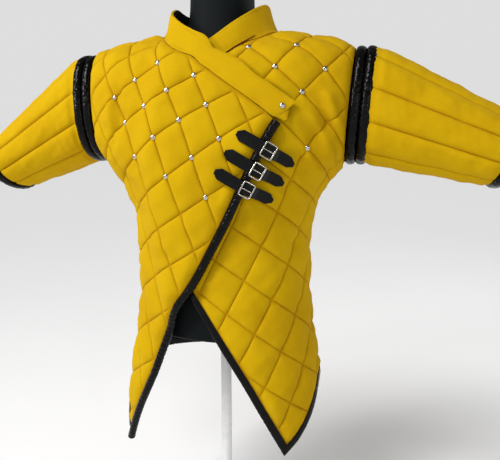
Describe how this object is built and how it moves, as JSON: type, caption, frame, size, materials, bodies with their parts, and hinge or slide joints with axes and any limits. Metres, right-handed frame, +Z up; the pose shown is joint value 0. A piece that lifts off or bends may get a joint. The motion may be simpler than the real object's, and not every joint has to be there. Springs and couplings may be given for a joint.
{
  "type": "gambeson on a dress form",
  "caption": "Quilted yellow wrap-over gambeson with black leather trims, buckled straps and dome studs, worn by a limbless dress form on a round stand.",
  "frame": {"origin": "middle of the stand's flat underside", "axes": "+Z up along the pole, the garment's front faces -Y, its wearer's left sleeve points to +X"},
  "size_m": [1.0473, 0.34, 1.13],
  "materials": {
    "yellow_canvas": "quilted cotton canvas, matt",
    "black_lining": "plain cotton, matt",
    "black_leather": "crinkled, glossy",
    "steel": "bright nickel plate",
    "form_skin": "matt black shell",
    "white_enamel": "smooth white enamel"
  },
  "bodies": {
    "root": {"back": "yellow_canvas", "front_over": "yellow_canvas", "front_under": "yellow_canvas", "lining_over": "black_lining", "lining_under": "black_lining", "lining_back": "black_lining", "collar_over": "yellow_canvas", "collar_under": "yellow_canvas", "front_tab": "yellow_canvas", "binding_under": "black_leather", "binding_over_hem": "black_leather", "binding_back": "black_leather", "edge_piping": "black_leather", "arm_band_inner_left": "black_leather", "arm_band_outer_left": "black_leather", "arm_band_inner_right": "black_leather", "arm_band_outer_right": "black_leather", "sleeve_left": "yellow_canvas", "sleeve_right": "yellow_canvas", "cuff_binding_left": "black_leather", "cuff_binding_right": "black_leather", "dress_form": "form_skin", "stand_base": "white_enamel", "stand_pole": "white_enamel", "stud_tab": "steel", "strap_short_1": "black_leather", "strap_short_2": "black_leather", "strap_short_3": "black_leather", "strap_long_1": "black_leather", "strap_long_2": "black_leather", "strap_long_3": "black_leather", "buckle_frame_1": "steel", "buckle_frame_2": "steel", "buckle_frame_3": "steel", "buckle_prong_1": "steel", "buckle_prong_2": "steel", "buckle_prong_3": "steel", "stud_over_01": "steel", "stud_over_02": "steel", "stud_over_03": "steel", "stud_over_04": "steel", "stud_over_05": "steel", "stud_over_06": "steel", "stud_over_07": "steel", "stud_over_08": "steel", "stud_over_09": "steel", "stud_over_10": "steel", "stud_over_11": "steel", "stud_over_12": "steel", "stud_over_13": "steel", "stud_over_14": "steel", "stud_over_15": "steel", "stud_under_01": "steel", "stud_under_02": "steel", "stud_under_03": "steel", "stud_under_04": "steel", "stud_under_05": "steel", "stud_under_06": "steel"}
  },
  "joints": []
}
